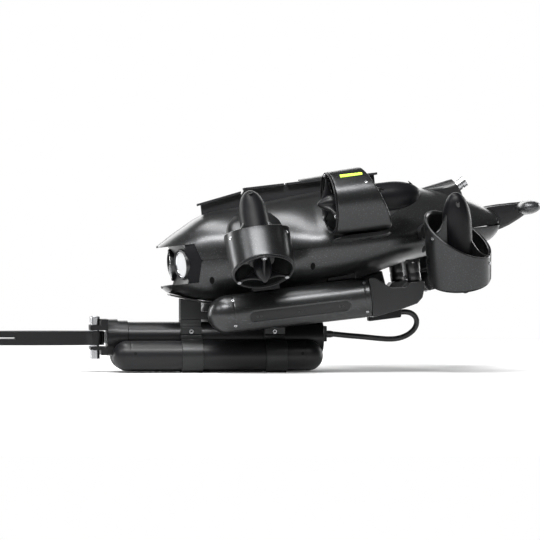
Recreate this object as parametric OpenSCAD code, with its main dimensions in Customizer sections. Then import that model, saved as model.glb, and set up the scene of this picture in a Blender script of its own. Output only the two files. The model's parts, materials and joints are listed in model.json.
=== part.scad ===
// Underwater drone with six ducted thrusters, slung battery packs and a gripper arm.
// +Z up, nose towards -X, origin on the floor under the middle of the bounding box.

/* [Stance] */
// Nose-down pitch of the hull over the level arm, degrees
hull_pitch = 6.8; // [6:0.1:7.4]
// Height of the hull's own origin above the floor
hull_z = 144.6; // [144:0.1:146]
// Distance of the hull's own origin behind the bounding box centre
hull_x = 88; // [87:0.5:89]

/* [Hull] */
// Wall thickness of the two hull shells
wall = 2.4; // [2:0.1:2.8]
// Height of the shell seam in the hull frame
seam_z = -5.5; // [-6:0.1:-5]
// Radius of the sealed electronics tube inside
tube_r = 29; // [26:0.5:29]
// Radius of the camera dome's rim
dome_r = 16.4; // [15:0.1:16.8]
// Radius of a lamp's lens
lamp_r = 14; // [12:0.1:14.5]
// Width of the accessory rail's flange
rail_w = 20; // [16:0.5:24]

/* [Thrusters] */
// Outer radius of a duct at its pod end
duct_r = 35; // [34.6:0.1:35.4]
// Outer radius of a duct at its guard end
rim_r = 33.6; // [33.4:0.1:34]
// Bore radius of a duct
bore_r = 31.4; // [31:0.1:31.6]
// Radius of the propeller over its blade tips
prop_r = 30.2; // [29:0.1:30.4]
// Radius of a motor pod
pod_r = 15.6; // [15:0.1:16]
// Length from the guard rim to the pod's tip
pod_tip = 100; // [98:0.5:101]
// Number of propeller blades
blades = 4; // [3:1:5]
// Cant of the front pair in the cross plane, degrees
front_cant = 31; // [30:0.5:32]
// Cant of the rear pair in the cross plane, degrees
rear_cant = 22; // [20:0.5:23]
// Toe-out of the middle pair in plan, degrees
middle_splay = 7; // [6:0.5:9]

/* [Batteries] */
// Distance of a battery's axis from the centre plane
battery_y = 64; // [63:0.5:66]
// Radius of a battery case at its front end
battery_r1 = 20.4; // [20:0.1:20.8]
// Radius of a battery case at its rear end
battery_r2 = 21.5; // [21:0.1:22]

/* [Arm] */
// Radius of the actuator tube
arm_r = 17; // [16.8:0.1:17.2]
// Height of the actuator tube's axis
arm_z = 38; // [37.8:0.1:38.4]
// Radius of a float tube
float_r = 16.5; // [16:0.1:16.5]
// Distance of a float's axis from the centre plane
float_y = 29; // [29:0.5:31]
// Half distance between the jaw pivots
pivot_y = 13; // [13:0.1:13.2]
// Length of a jaw from pivot to tip
jaw_len = 149; // [120:1:150]
// Height of a jaw
jaw_h = 15; // [12:0.5:15.5]
// Running clearance of pivots and shafts
fit = 0.05; // [0.02:0.01:0.08]

/* [Hidden] */

$fn = 48;
LEFT = -1;
RIGHT = 1;
SIDES = [LEFT, RIGHT];

// Places of the thrusters: guard-rim centre on the left side, in the hull frame
FRONT = [-91, -139, -23.5];
MIDDLE = [-10, -120, 39.4];
REAR = [121, -108, -58];
// Length of each pair's ducts on the axis, and how much longer they are per mm towards the long side
DUCT_MID = [49, 49, 53];
DUCT_SLOPE = [0.4, 0.4, 0.65];
// Propeller hub, motor and pod along the thruster's axis
hub_z1 = 11.5;
hub_z2 = 25;
pod_z1 = 26;
motor_z1 = 34;
motor_z2 = 60;
motor_r = 13;
rotor_r = 9;
shaft_r = 2.5;

// Hull outline stations: [x, value] in the hull frame
TOP = [[-190, 16], [-168, 29], [-137, 44], [-95, 48], [-5, 55], [60, 54], [116, 43], [153, 29], [192, 5]];
BOTTOM = [[-190, -31.5], [-183, -37], [-143, -50], [-100, -52], [0, -50], [40, -42.5], [80, -33],
    [150, -25], [176, -21], [190, -9]];
HALF = [[-190, 30], [-175, 44], [-157, 55], [-120, 63], [-77, 67], [-30, 84], [30, 88], [80, 80],
    [140, 52], [192, 24]];
LIP_UP = 13.5;
LIP_LOW = -28.5;
BEZEL_BACK = -156;
CHEEK_BACK = -148;

// Arm along X
head_x1 = -176.4;
head_x2 = -157;
collar_step = -146;
collar_x2 = -135;
tube_x2 = 80;
pivot_x = -170.7;
pin_r = 4.2;
gap_z1 = 28;
gap_z2 = 46;
float_z = 18.3;
float_x1 = -153;
float_x2 = 77;
BANDS = [-77.7, 13.6];
band_w = 22.7;
band_t = 1.8;
// Jaw gears and the rack between them
gear_m = 1;
gear_r = 9;
tooth_h = 0.8;
tooth_root = 1.25;
backlash = 0.3;

// Lead from the gland to the plug, along its centreline
cable_r = 3;
CABLE = [[92.4, 0, 41], [100, 0, 40.2], [110, 0, 39.2], [121, 0, 38.3], [132, 0, 37.2],
    [144, 0, 36], [154, 0, 35.4], [163, 0, 36], [171, 0, 38.3], [178, 0, 42.3], [183, 0, 47.6],
    [185, 0, 53.4], [184, 0, 59], [180, 0, 63.2], [174, 0, 65.2], [167, 0, 65.2]];

// Piecewise cubic through stations [x, value]
function place(keys, x, i = 0) = i < len(keys) - 2 && x > keys[i + 1][0] ? place(keys, x, i + 1) : i;
function slope(keys, i) =
    let (a = keys[max(i - 1, 0)], b = keys[min(i + 1, len(keys) - 1)])
    (b[1] - a[1]) / (b[0] - a[0]);
function curve(keys, x) =
    let (i = place(keys, x), a = keys[i], b = keys[i + 1], h = b[0] - a[0], t = (x - a[0]) / h)
    a[1] * (2 * t * t * t - 3 * t * t + 1) + b[1] * (3 * t * t - 2 * t * t * t)
    + h * slope(keys, i) * (t * t * t - 2 * t * t + t) + h * slope(keys, i + 1) * (t * t * t - t * t);

function edge_up(x) = lookup(x, [[BEZEL_BACK, LIP_UP], [CHEEK_BACK, seam_z], [90, seam_z], [190, -3]]);
function edge_low(x) = lookup(x, [[BEZEL_BACK, LIP_LOW], [CHEEK_BACK, seam_z], [90, seam_z], [190, -3]]);
// Squareness of the cross-section: 2 is an ellipse, less is a ridge
function power_up(x) = lookup(x, [[-150, 2.4], [-90, 2], [-20, 1.6], [90, 1.6], [190, 2]]);
function power_low(x) = lookup(x, [[-150, 2.6], [0, 2.2], [190, 2]]);

// A superellipse arc from +Y over the top (dir 1) or under the bottom (dir -1) to -Y
function arc_points(x, w, z0, h, p, dir, n) =
    [for (i = [0:n]) let (t = 180 * i / n, c = cos(t), s = sin(t))
        [x, w * sign(c) * pow(abs(c), 2 / p), z0 + dir * h * pow(abs(s), 2 / p)]];
function shell_loop(x, dir, n) =
    let (z0 = dir > 0 ? edge_up(x) : edge_low(x),
        h = dir > 0 ? curve(TOP, x) - z0 : z0 - curve(BOTTOM, x),
        w = curve(HALF, x), p = dir > 0 ? power_up(x) : power_low(x))
    concat(arc_points(x, w, z0, h, p, dir, n),
        [for (i = [n:-1:0]) arc_points(x, w - wall, z0, max(h - wall, 0.4), p, dir, n)[i]]);

// Closed tube of skin through loops of equal length, with flat ends
module loft(loops, flip = false) {
    m = len(loops[0]);
    last = len(loops) - 1;
    sides = [for (i = [0:last - 1]) for (j = [0:m - 1])
        let (k = (j + 1) % m, q = [i * m + j, i * m + k, (i + 1) * m + k, (i + 1) * m + j])
        for (f = [[q[0], q[1], q[2]], [q[0], q[2], q[3]]]) flip ? [f[2], f[1], f[0]] : f];
    start = [for (j = [0:m / 2 - 2]) for (f = [[j, m - 1 - j, j + 1], [j + 1, m - 1 - j, m - 2 - j]])
        flip ? [f[2], f[1], f[0]] : f];
    end = [for (f = start) [for (v = [f[2], f[1], f[0]]) v + last * m]];
    polyhedron([for (l = loops) for (p = l) p], concat(sides, start, end), convexity = 6);
}

STATIONS = concat([for (x = [-190, -184, -177, -170, -163, BEZEL_BACK, CHEEK_BACK]) x],
    [for (i = [1:24]) CHEEK_BACK + i * (190 - CHEEK_BACK) / 24]);

module in_hull() {
    translate([hull_x, 0, hull_z]) rotate([0, -hull_pitch, 0]) children();
}

module on_side(s) {
    if (s == LEFT) children();
    else mirror([0, 1, 0]) children();
}

// A bar of rectangular section from a profile in XZ, centred on y
module slab(points, w, y = 0) {
    translate([0, y + w / 2, 0]) rotate([90, 0, 0]) linear_extrude(w) polygon(points);
}

module along_x(r, x1, x2, r2 = undef, fn = 48) {
    translate([x1, 0, 0]) rotate([0, 90, 0])
        cylinder(r1 = r, r2 = is_undef(r2) ? r : r2, h = x2 - x1, $fn = fn);
}

module cylinder_at(r, z1, z2) {
    translate([0, 0, z1]) cylinder(r = r, h = z2 - z1);
}

// ---- Hull shells and what they carry ----

module upper_shell() {
    color("#3b3d40") in_hull() loft([for (x = STATIONS) shell_loop(x, 1, 26)]);
}

module lower_shell() {
    color("#2e3033") in_hull() loft([for (x = STATIONS) shell_loop(x, -1, 26)], true);
}

// Toe-out of the lamps, the place of the left one's lens and the height of lamps' and camera's middle
lamp_cant = 18;
LAMP = [-168.5, -37, -7.2];
eye_z = -6.6;

module at_lamp(s) {
    on_side(s) translate(LAMP) rotate([0, 0, lamp_cant]) rotate([0, -90, 0]) children();
}

module nose_bezel() {
    face = -179;
    plan = [[face, 10], [-176, 20], [-164, 53], [BEZEL_BACK - 1, 55], [BEZEL_BACK - 1, -55],
        [-164, -53], [-176, -20], [face, -10]];
    color("#151515") in_hull() difference() {
        translate([0, 0, LIP_LOW + 1]) linear_extrude(LIP_UP - LIP_LOW - 1.5) intersection() {
            polygon(plan);
            translate([-190, -53]) square([60, 106]);
        }
        translate([0, 0, eye_z]) along_x(dome_r + 1.6, -190, -171);
        translate([0, 0, eye_z]) along_x(13.6, -180, -140);
        for (s = SIDES) at_lamp(s) translate([0, 0, -5]) cylinder(r = lamp_r + 0.6, h = 20);
        translate([-166, -18, LIP_LOW + 8]) cube([20, 36, 28]);
    }
}

module camera_dome() {
    sphere_r = 18.4;
    color([0.5, 0.6, 0.65, 0.5]) in_hull() translate([-163, 0, eye_z]) difference() {
        sphere(sphere_r, $fn = 64);
        sphere(sphere_r - 1.6, $fn = 64);
        translate([-8, -30, -30]) cube([60, 60, 60]);
    }
}

module camera_module() {
    color("#1b1f24") in_hull() translate([0, 0, eye_z]) {
        along_x(13.3, -168, -122);
        along_x(9, -173, -168);
        translate([-122, -15, -15]) cube([20, 30, 30]);
    }
}

module lamp_lenses() {
    color("#f2f5f7") in_hull() for (s = SIDES) at_lamp(s) {
        translate([0, 0, -5]) cylinder(r = lamp_r + 0.6, h = 3);
        translate([0, 0, -2]) cylinder(r1 = lamp_r - 1, r2 = lamp_r - 3, h = 3);
    }
}

module top_rail() {
    flange = 2.5;
    runs = [[[-140.6, 56.6], [-92, 64.7]], [[-88, 68], [-44, 68]], [[-40.6, 68], [60, 68]]];
    color("#1a1a1a") in_hull() {
        for (r = runs) slab([r[0], r[1], r[1] - [0, flange], r[0] - [0, flange]], rail_w);
        slab([[-137, 42], [-137, 56], [-93.5, 63.2], [-91, 61], [-87, 66.5], [57, 66.5], [57, 52.4],
            [-5, 53.4], [-95, 46.4]], 8);
    }
}

module tail_handle() {
    bar = [for (t = [0:20:340]) [222 + 13 * cos(t), 10 + 7.8 * sin(t)]];
    color("#26282a") in_hull() {
        slab([[168, 14], [176, 17], [205, 17.5], [222, 17], [222, 4], [212, -1.5], [200, -7], [186, -11],
            [178, -6], [170, 2]], 16);
        slab(bar, 74);
    }
}

port_pitch = 29;
PORT = [147.6, 0, 41.9];
module at_port() {
    in_hull() translate(PORT) rotate([0, 90 - port_pitch, 0]) children();
}

module tether_housing() {
    color("#202224") hull() {
        at_port() translate([0, 0, -3]) cylinder(r = 10.8, h = 3, $fn = 32);
        in_hull() translate([103, 0, 40]) cylinder(r = 9, h = 3, $fn = 32);
        in_hull() translate([142, 0, 26]) cylinder(r = 10, h = 3, $fn = 32);
    }
}

module tether_connector() {
    color("#b9bcbf") at_port() difference() {
        union() {
            cylinder(r = 6.2, h = 4.5);
            cylinder(r = 5, h = 11.5);
            translate([0, 0, 6.5]) cylinder(r = 6.2, h = 5);
        }
        translate([0, 0, 3]) cylinder(r = 3.6, h = 12);
    }
}

module electronics_tube() {
    cap = 5;
    color("#8b9096") in_hull() translate([0, 0, 2]) difference() {
        union() {
            along_x(tube_r, -88, 82);
            along_x(tube_r - 8, 82, 92);
        }
        along_x(tube_r - 3, -88 + cap, 82 - cap);
    }
}

module main_board() {
    color("#1c5a38") in_hull() {
        translate([-70, -22, -1]) cube([132, 44, 1.6]);
        translate([-50, -12, 0.6]) cube([30, 24, 6]);
        translate([0, -15, 0.6]) cube([40, 30, 8]);
        translate([-20, -8, -9]) cube([50, 16, 8]);
    }
}

module chin_plate() {
    color("#101010") in_hull() slab([[-184, -37.6], [-143, -51.2], [-128, -51.8], [-128, -54], [-143, -53.6],
        [-183, -39.8]], 44);
}

module ballast_weights() {
    color("#6d7073") in_hull() for (s = SIDES) translate([-136, s * 19 - 12, -45.5]) cube([74, 24, 9]);
}

module battery_cradles() {
    color("#1d1d1d") in_hull() for (s = SIDES) on_side(s) difference() {
        union() {
            translate([-98, -72, -50]) cube([30, 16, 22]);
            translate([-14, -60, -50]) cube([30, 20, 15]);
        }
        translate([0, -battery_y, -66]) along_x(battery_r2 + 0.4, -150, 60);
    }
}

// ---- Thrusters ----
// Own frame: guard rim at z 0, pod towards +Z, attached side towards +X.

module at_front() {
    in_hull() translate(FRONT) rotate([-front_cant, 0, 0]) rotate([0, 0, 90]) children();
}

module at_middle() {
    in_hull() translate(MIDDLE) rotate([0, 0, middle_splay]) rotate([0, 90, 0]) children();
}

module at_rear() {
    in_hull() translate(REAR) rotate([rear_cant, 0, 0]) rotate([0, 0, 90]) children();
}

module at_thruster(pair) {
    if (pair == 0) at_front() children();
    if (pair == 1) at_middle() children();
    if (pair == 2) at_rear() children();
}

PAIRS = [0, 1, 2];
// Direction of each pair's longest side round the thruster's axis
SKEW = [0, 0, 65];
// Directions of the three struts round the axis
STRUTS = [0, 120, 240];

function rim_z(pair, r, a) = DUCT_MID[pair] + DUCT_SLOPE[pair] * r * cos(a - SKEW[pair]);

module duct_body(pair) {
    longest = 80;
    difference() {
        rotate_extrude($fn = 72) polygon([[bore_r, 0.8], [bore_r + 0.8, 0], [rim_r - 0.6, 0], [rim_r, 0.8],
            [duct_r - 0.4, 22], [duct_r, 40], [duct_r, longest], [bore_r, longest]]);
        rotate([0, 0, SKEW[pair]]) translate([0, 0, DUCT_MID[pair]]) rotate([0, -atan(DUCT_SLOPE[pair]), 0])
            translate([-60, -60, 0]) cube([120, 120, 60]);
    }
}

module strut(a, pair) {
    reach = rim_z(pair, bore_r, a);
    wall_r = bore_r + 1.2;
    rotate([0, 0, a]) slab([[pod_r, 27], [wall_r, 27], [wall_r, reach - 2.5], [26, reach + 1],
        [20, reach + 6], [pod_r, reach + 16]], 3);
}

module clear_bore() {
    translate([0, 0, -2]) cylinder(r = bore_r + 1.1, h = 130, $fn = 72);
}

// A solid whose outline is one polygon seen along X and another seen along Y
module crossed(yz, xz) {
    intersection() {
        translate([-400, 0, 0]) rotate([90, 0, 90]) linear_extrude(800) polygon(yz);
        slab(xz, 600);
    }
}

module front_arm() {
    difference() {
        in_hull() crossed(
            [[-99, -15], [-64, -12], [-60, 0], [-40, 34], [-44, 41], [-54, 37], [-68, 25], [-80, 15.5]],
            [[-121, -16], [-120, 10], [-113, 24], [-103, 33], [-91, 38], [-76, 39], [-64, 34], [-58, 23],
                [-56, -16]]);
        at_front() clear_bore();
    }
}

module middle_arm() {
    difference() {
        in_hull() crossed(
            [[-132, 9], [-126, 2.8], [-112, 0.8], [-96, -1], [-84, -3], [-80, 0], [-72, 10], [-74, 15.5],
                [-86, 17], [-94, 19], [-100, 26]],
            [[-8, -6], [-9, 20], [40, 20], [46, 12], [52, 6], [54, -6]]);
        at_middle() clear_bore();
    }
}

module rear_arm() {
    difference() {
        in_hull() crossed(
            [[-93, -20], [-74, -17], [-52, -13], [-47, -4], [-47, 5], [-60, 9], [-80, 9], [-101, 11]],
            [[88, -20], [85, -4], [90, 12], [132, 12], [130, -8], [120, -20]]);
        at_rear() clear_bore();
    }
}

module duct(pair, s) {
    color("#3a3c3f") on_side(s) {
        at_thruster(pair) {
            duct_body(pair);
            for (a = STRUTS) strut(a, pair);
        }
        if (pair == 0) front_arm();
        if (pair == 1) middle_arm();
        if (pair == 2) rear_arm();
    }
}

module pod_shape() {
    tip = [for (t = [0:15:90]) [(pod_r - 1.5) * cos(t) + 1.5 * cos(t), 66 + (pod_tip - 66) * sin(t)]];
    outline = concat([[shaft_r + fit, pod_z1], [pod_r - 0.8, pod_z1], [pod_r, pod_z1 + 0.8]], tip,
        [[0, motor_z2 + 6], [motor_r, motor_z2 + 6], [motor_r, pod_z1 + 5], [shaft_r + fit, pod_z1 + 5]]);
    rotate_extrude($fn = 64) polygon(outline);
}

module pod(pair, s) {
    color("#1b1b1c") on_side(s) at_thruster(pair) pod_shape();
}

// Twisted blade: rings of a flat oval section from hub to tip
function blade_loop(r) =
    let (k = (r - 12) / (prop_r - 12), chord = 15 - 3 * k, twist = 52 - 26 * k, thick = 2.2 - 1.2 * k)
    [for (q = [[-0.5, 0], [-0.2, 0.5], [0.3, 0.4], [0.5, 0], [0.3, -0.4], [-0.2, -0.5]])
        let (u = q[0] * chord, v = q[1] * thick)
        [r, u * cos(twist) - v * sin(twist), u * sin(twist) * 0.9 + v * cos(twist)]];

module blade() {
    rings = [for (r = [12:(prop_r - 12) / 5:prop_r]) blade_loop(r)];
    n = 6;
    last = len(rings) - 1;
    sides = [for (i = [0:last - 1]) for (j = [0:n - 1]) let (k = (j + 1) % n)
        for (f = [[i * n + j, (i + 1) * n + k, (i + 1) * n + j], [i * n + j, i * n + k, (i + 1) * n + k]]) f];
    polyhedron([for (r = rings) for (p = r) p],
        concat(sides, [[for (j = [n - 1:-1:0]) j]], [[for (j = [0:n - 1]) last * n + j]]));
}

module propeller(pair, s) {
    color("#222222") on_side(s) at_thruster(pair) {
        translate([0, 0, hub_z1]) cylinder(r = 14, h = hub_z2 - hub_z1);
        cylinder_at(shaft_r, hub_z2 - 1, motor_z2 + 3);
        cylinder_at(rotor_r, motor_z1 + 1, motor_z2 - 1);
        for (i = [0:blades - 1]) translate([0, 0, (hub_z1 + hub_z2) / 2]) rotate([0, 0, i * 360 / blades])
            blade();
    }
}

// Distance of a guard's screw bosses from the thruster's axis
boss_r = 29.5;

module guard() {
    rotate_extrude($fn = 48) polygon([[0, 10.5], [9.6, 10.5], [9.6, 2], [8.4, -2.5], [5.6, -8],
        [2.6, -12.4], [1, -13.7], [0, -14]]);
    for (a = STRUTS) rotate([0, 0, a + 60]) {
        slab([[2, -11], [8, -6.5], [16, -3.6], [30.6, -2], [30.6, 1], [16, 2.6], [8, 5], [2, 6]], 3);
        translate([boss_r, 0, -2.5]) cylinder(r = 3.4, h = 2.5);
    }
    rotate_extrude($fn = 72) polygon([[bore_r - 1, -2], [rim_r - 0.8, -2], [rim_r - 0.8, -0.05],
        [bore_r - 1, -0.05]]);
}

module propeller_guards() {
    color("#1c1d1e") for (s = SIDES) on_side(s) for (p = PAIRS) at_thruster(p) guard();
}

module motor_stators() {
    color("#a5642d") for (s = SIDES) on_side(s) for (p = PAIRS) at_thruster(p)
        translate([0, 0, motor_z1]) difference() {
            cylinder(r = motor_r - 0.05, h = motor_z2 - motor_z1);
            translate([0, 0, -1]) cylinder(r = rotor_r + 0.6, h = 40);
        }
}

function duct_outer(z) = lookup(z, [[0.8, rim_r], [22, duct_r - 0.4], [40, duct_r]]);

module thruster_screws(pair) {
    for (a = STRUTS) rotate([0, 0, a + 60]) translate([boss_r, 0, -3.3]) cylinder(r = 2.1, h = 0.8, $fn = 24);
    for (a = [STRUTS[1], STRUTS[2]]) {
        z = rim_z(pair, duct_r, a) - 8;
        rotate([0, 0, a]) translate([duct_outer(z) - 0.2, 0, z]) rotate([0, 90, 0])
            cylinder(r = 1.8, h = 0.8, $fn = 24);
    }
}

module screws() {
    color("#c3c6c8") {
        for (s = SIDES) on_side(s) for (p = PAIRS) at_thruster(p) thruster_screws(p);
        for (s = SIDES) for (x = BANDS) translate([x + band_w / 2, s * 22 - 0.6, 44.5]) rotate([90, 0, 0])
            cylinder(r = 2.6, h = 1.2, center = true, $fn = 24);
    }
}

module status_lights() {
    color("#d9f23c") for (s = SIDES) on_side(s) at_middle() rotate([0, 0, 216]) rotate_extrude(angle = 6)
        polygon([[duct_r - 1, 9], [duct_r + 0.3, 9], [duct_r + 0.3, 33], [duct_r - 1, 33]]);
}

// ---- Batteries ----

battery_x1 = -127;
battery_x2 = 27.6;
battery_z = -66;
nose_len = 22;
lock_x = 79;
lock_r = 7.6;

module in_battery(s) {
    in_hull() translate([0, s * battery_y, battery_z]) children();
}

module battery_case(s) {
    nose = [for (t = [90:-15:0]) [battery_r1 * cos(t), -nose_len * sin(t)]];
    length = battery_x2 - battery_x1;
    color("#2b2d30") in_battery(s) translate([battery_x1, 0, 0]) rotate([0, 90, 0]) rotate_extrude($fn = 72)
        polygon(concat(nose, [[battery_r2, length], [battery_r2 - 2, length], [battery_r1 - 2, 0], [0, 0]]));
}

module battery_cells(s) {
    color("#3f6f8f") in_battery(s) for (i = [0, 1]) translate([battery_x1 + 3 + i * 74, 0, 0])
        along_x(15, 0, 72);
}

module battery_handle(s) {
    side = [[battery_x2, -22], [61, -16.5], [77, -12.8], [83.5, -7], [87, 4], [87.5, 10.5], [71, 10.5],
        [67, 6.6], [50, 7.5], [42, 14.5], [36, 20], [battery_x2, 20.5]];
    color("#161616") in_battery(s) difference() {
        slab(side, 30);
        translate([lock_x, 0, 4]) cylinder(r = 3 + fit, h = 20);
    }
}

module lock_knob(s) {
    color("#1f1f20") in_battery(s) translate([lock_x, 0, 0]) {
        cylinder_at(3, 4.5, 12);
        cylinder_at(lock_r, 10.8, 32);
        translate([-lock_r, -2, 31]) cube([2 * lock_r, 4, 4.5]);
    }
}

// ---- Gripper arm ----

module at_arm() {
    translate([0, 0, arm_z]) children();
}

module actuator_tube() {
    color("#1e1f21") difference() {
        union() {
            at_arm() along_x(arm_r, collar_x2, tube_x2);
            translate([tube_x2, -9, 33]) cube([4, 18, 17]);
        }
        at_arm() along_x(arm_r - 2.5, collar_x2 - 1, tube_x2 - 4);
    }
}

module gripper_head() {
    depth = 44;
    color("#222326") difference() {
        union() {
            at_arm() along_x(20, head_x2, collar_step);
            at_arm() along_x(18.4, collar_step, collar_x2);
            translate([head_x1, -depth / 2, 24.8]) cube([12, depth, 26.8]);
            translate([head_x1 + 12, -depth / 2, 19]) cube([head_x2 - head_x1 - 12, depth, 39]);
        }
        translate([head_x1 - 1, -30, gap_z1]) cube([19.4, 60, gap_z2 - gap_z1]);
        at_arm() along_x(14.5, head_x2 + 3, collar_x2 + 1);
        translate([head_x2 - 5, -6, arm_z - 6.5]) cube([12, 12, 13]);
        for (s = SIDES) translate([pivot_x, s * pivot_y, 10]) cylinder(r = pin_r, h = 60);
    }
}

module pivot_pins() {
    color("#c9ccce") for (s = SIDES) translate([pivot_x, s * pivot_y, 0]) {
        cylinder_at(pin_r, 24.8, 51.6);
        cylinder_at(4.9, 51.6, 61);
        cylinder_at(4.9, 14.9, 24.8);
    }
}

// Involute gear sector: teeth at the given angles round the origin
function involute(rb, r) = let (q = sqrt(max(r * r / (rb * rb) - 1, 0))) q * 180 / PI - atan(q);
function tooth(a) =
    let (rb = gear_r * cos(20),
        half = (PI * gear_m / 2 - backlash) / 2 / gear_r * 180 / PI + involute(rb, gear_r),
        rs = [for (i = [0:4]) rb + i * (gear_r + tooth_h - rb) / 4],
        low = gear_r - tooth_root - 0.3)
    concat([[low * cos(a - half), low * sin(a - half)]],
        [for (r = rs) let (t = a - half + involute(rb, r)) [r * cos(t), r * sin(t)]],
        [for (i = [4:-1:0]) let (r = rs[i], t = a + half - involute(rb, r)) [r * cos(t), r * sin(t)]],
        [[low * cos(a + half), low * sin(a + half)]]);

// Half-width of the jaw and the line down its middle, by fraction of its length
function jaw_mid(k) = -pivot_y * (1 - k) - 15 * sin(180 * k) - 2.7 * k;
function jaw_half(k) = 6.4 - 3.9 * k;

module jaw_outline() {
    steps = 14;
    ks = [for (i = [0:steps]) i / steps];
    polygon(concat([for (k = ks) [-jaw_len * k, jaw_mid(k) + jaw_half(k)]],
        [for (i = [steps:-1:0]) let (k = ks[i]) [-jaw_len * k, jaw_mid(k) - jaw_half(k)]]));
}

module jaw(s) {
    color("#2a2b2e") on_side(s) translate([pivot_x, 0, arm_z - 0.5 - jaw_h / 2]) difference() {
        union() {
            linear_extrude(jaw_h) jaw_outline();
            translate([0, -pivot_y, 0]) cylinder(r = gear_r - tooth_root, h = jaw_h);
            translate([0, -pivot_y, 0]) for (i = [-4:1]) linear_extrude(jaw_h) polygon(tooth(90 + i * 20));
        }
        translate([0, -pivot_y, -1]) cylinder(r = pin_r + fit, h = jaw_h + 2);
        translate([-jaw_len - 10, -60, jaw_h / 2 - 1]) cube([72, 120, 2]);
    }
}

module rack_side() {
    pitch_y = pivot_y - gear_r;
    half = (PI * gear_m / 2 - backlash) / 2;
    lean = tan(20);
    for (i = [-1:4]) let (x = (i - 0.5) * PI * gear_m)
        polygon([[x - half - tooth_root * lean, pitch_y - tooth_root],
            [x - half + tooth_h * lean, pitch_y + tooth_h], [x + half - tooth_h * lean, pitch_y + tooth_h],
            [x + half + tooth_root * lean, pitch_y - tooth_root]]);
}

module drive_rack() {
    root = pivot_y - gear_r - tooth_root + 0.1;
    color("#9a9da0") {
        translate([pivot_x, 0, arm_z - 6]) linear_extrude(12) {
            for (m = [0, 1]) mirror([0, m]) rack_side();
            translate([-6.6, -root]) square([32, 2 * root]);
        }
        at_arm() along_x(5, pivot_x + 24, -104);
    }
}

module gripper_motor() {
    color("#777a7d") at_arm() difference() {
        union() {
            along_x(9, -126, -94);
            along_x(14.4, -94, 62);
        }
        along_x(5 + fit, -127, -90);
    }
}

module float_tubes() {
    color("#1a1b1c") for (s = SIDES) translate([0, s * float_y, float_z]) difference() {
        float_shape(float_r);
        float_shape(float_r - 2);
    }
}

module float_shape(r) {
    translate([float_x1 + float_r, 0, 0]) sphere(r, $fn = 64);
    translate([float_x2 - float_r, 0, 0]) sphere(r, $fn = 64);
    along_x(r, float_x1 + float_r, float_x2 - float_r);
}

// The level rail over the bands: its rear end and the height of its underside
bracket_x2 = 111;
bracket_z = 57.5;

module clamp_bands() {
    foot_w = 14;
    slot_z = 40.6;
    for (x = BANDS) color("#3a3b3d") translate([x, 0, 0]) rotate([90, 0, 90]) linear_extrude(band_w)
        difference() {
            union() {
                translate([0, arm_z]) circle(arm_r + band_t);
                for (s = SIDES) translate([s * float_y, float_z]) circle(float_r + band_t);
                translate([-22, 26]) square([44, 23]);
                translate([-13, arm_z]) square([26, bracket_z - arm_z]);
                translate([-float_y, 8]) square([2 * float_y, 18]);
                for (s = SIDES) translate([s * float_y - foot_w / 2, 0]) square([foot_w, 6]);
            }
            translate([0, arm_z]) circle(arm_r);
            for (s = SIDES) translate([s * float_y, float_z]) circle(float_r);
            translate([-30, slot_z]) square([12, 0.8]);
            translate([18, slot_z]) square([12, 0.8]);
        }
}

module arm_bracket() {
    color("#303133") {
        slab([[BANDS[0], bracket_z], [bracket_x2, bracket_z], [bracket_x2, 66], [BANDS[0], 66]], 24);
        slab([[BANDS[0], 66], [BANDS[0] + band_w, 66], [BANDS[0] + band_w, 76.5], [BANDS[0], 80.5]], 24);
    }
}

module keel_adapter() {
    color("#191919") in_hull() slab([[-136, -51.5], [-100, -52.5], [0, -50.6], [30, -45], [52, -40],
        [58, -84], [41, -86]], 30, 0);
}

module arm_plug() {
    color("#141414") slab([[130.5, 55], [167, 59.5], [167, 70.5], [130.5, 61.5]], 16);
}

module cable_gland() {
    color("#101010") at_arm() translate([0, 0, 3]) {
        along_x(3.8, 84, 89);
        along_x(3.8, 89, 92.4, 3);
    }
}

// Tube of round section swept along the points of a route in the XZ plane
module arm_cable() {
    n = 10;
    last = len(CABLE) - 1;
    function heading(i) = let (d = CABLE[min(i + 1, last)] - CABLE[max(i - 1, 0)]) d / norm(d);
    points = [for (i = [0:last])
        let (d = i == 0 ? [1, 0, 0] : i == last ? [-1, 0, 0] : heading(i))
        for (j = [0:n - 1]) let (a = 360 * j / n)
            CABLE[i] + cable_r * [-d[2] * sin(a), cos(a), d[0] * sin(a)]];
    sides = [for (i = [0:last - 1]) for (j = [0:n - 1]) let (k = (j + 1) % n)
        for (f = [[i * n + j, i * n + k, (i + 1) * n + k], [i * n + j, (i + 1) * n + k, (i + 1) * n + j]]) f];
    color("#0d0d0d") polyhedron(points,
        concat(sides, [[for (j = [n - 1:-1:0]) j]], [[for (j = [0:n - 1]) last * n + j]]));
}

upper_shell();
lower_shell();
nose_bezel();
camera_dome();
camera_module();
lamp_lenses();
top_rail();
tail_handle();
tether_housing();
tether_connector();
status_lights();
electronics_tube();
main_board();
chin_plate();
screws();
ballast_weights();
battery_cradles();
duct(0, LEFT);  // duct_front_left
duct(0, RIGHT);  // duct_front_right
duct(1, LEFT);  // duct_middle_left
duct(1, RIGHT);  // duct_middle_right
duct(2, LEFT);  // duct_rear_left
duct(2, RIGHT);  // duct_rear_right
pod(0, LEFT);  // pod_front_left
pod(0, RIGHT);  // pod_front_right
pod(1, LEFT);  // pod_middle_left
pod(1, RIGHT);  // pod_middle_right
pod(2, LEFT);  // pod_rear_left
pod(2, RIGHT);  // pod_rear_right
propeller(0, LEFT);  // propeller_front_left
propeller(0, RIGHT);  // propeller_front_right
propeller(1, LEFT);  // propeller_middle_left
propeller(1, RIGHT);  // propeller_middle_right
propeller(2, LEFT);  // propeller_rear_left
propeller(2, RIGHT);  // propeller_rear_right
propeller_guards();
motor_stators();
battery_case(LEFT);  // battery_case_left
battery_case(RIGHT);  // battery_case_right
battery_cells(LEFT);  // battery_cells_left
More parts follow.
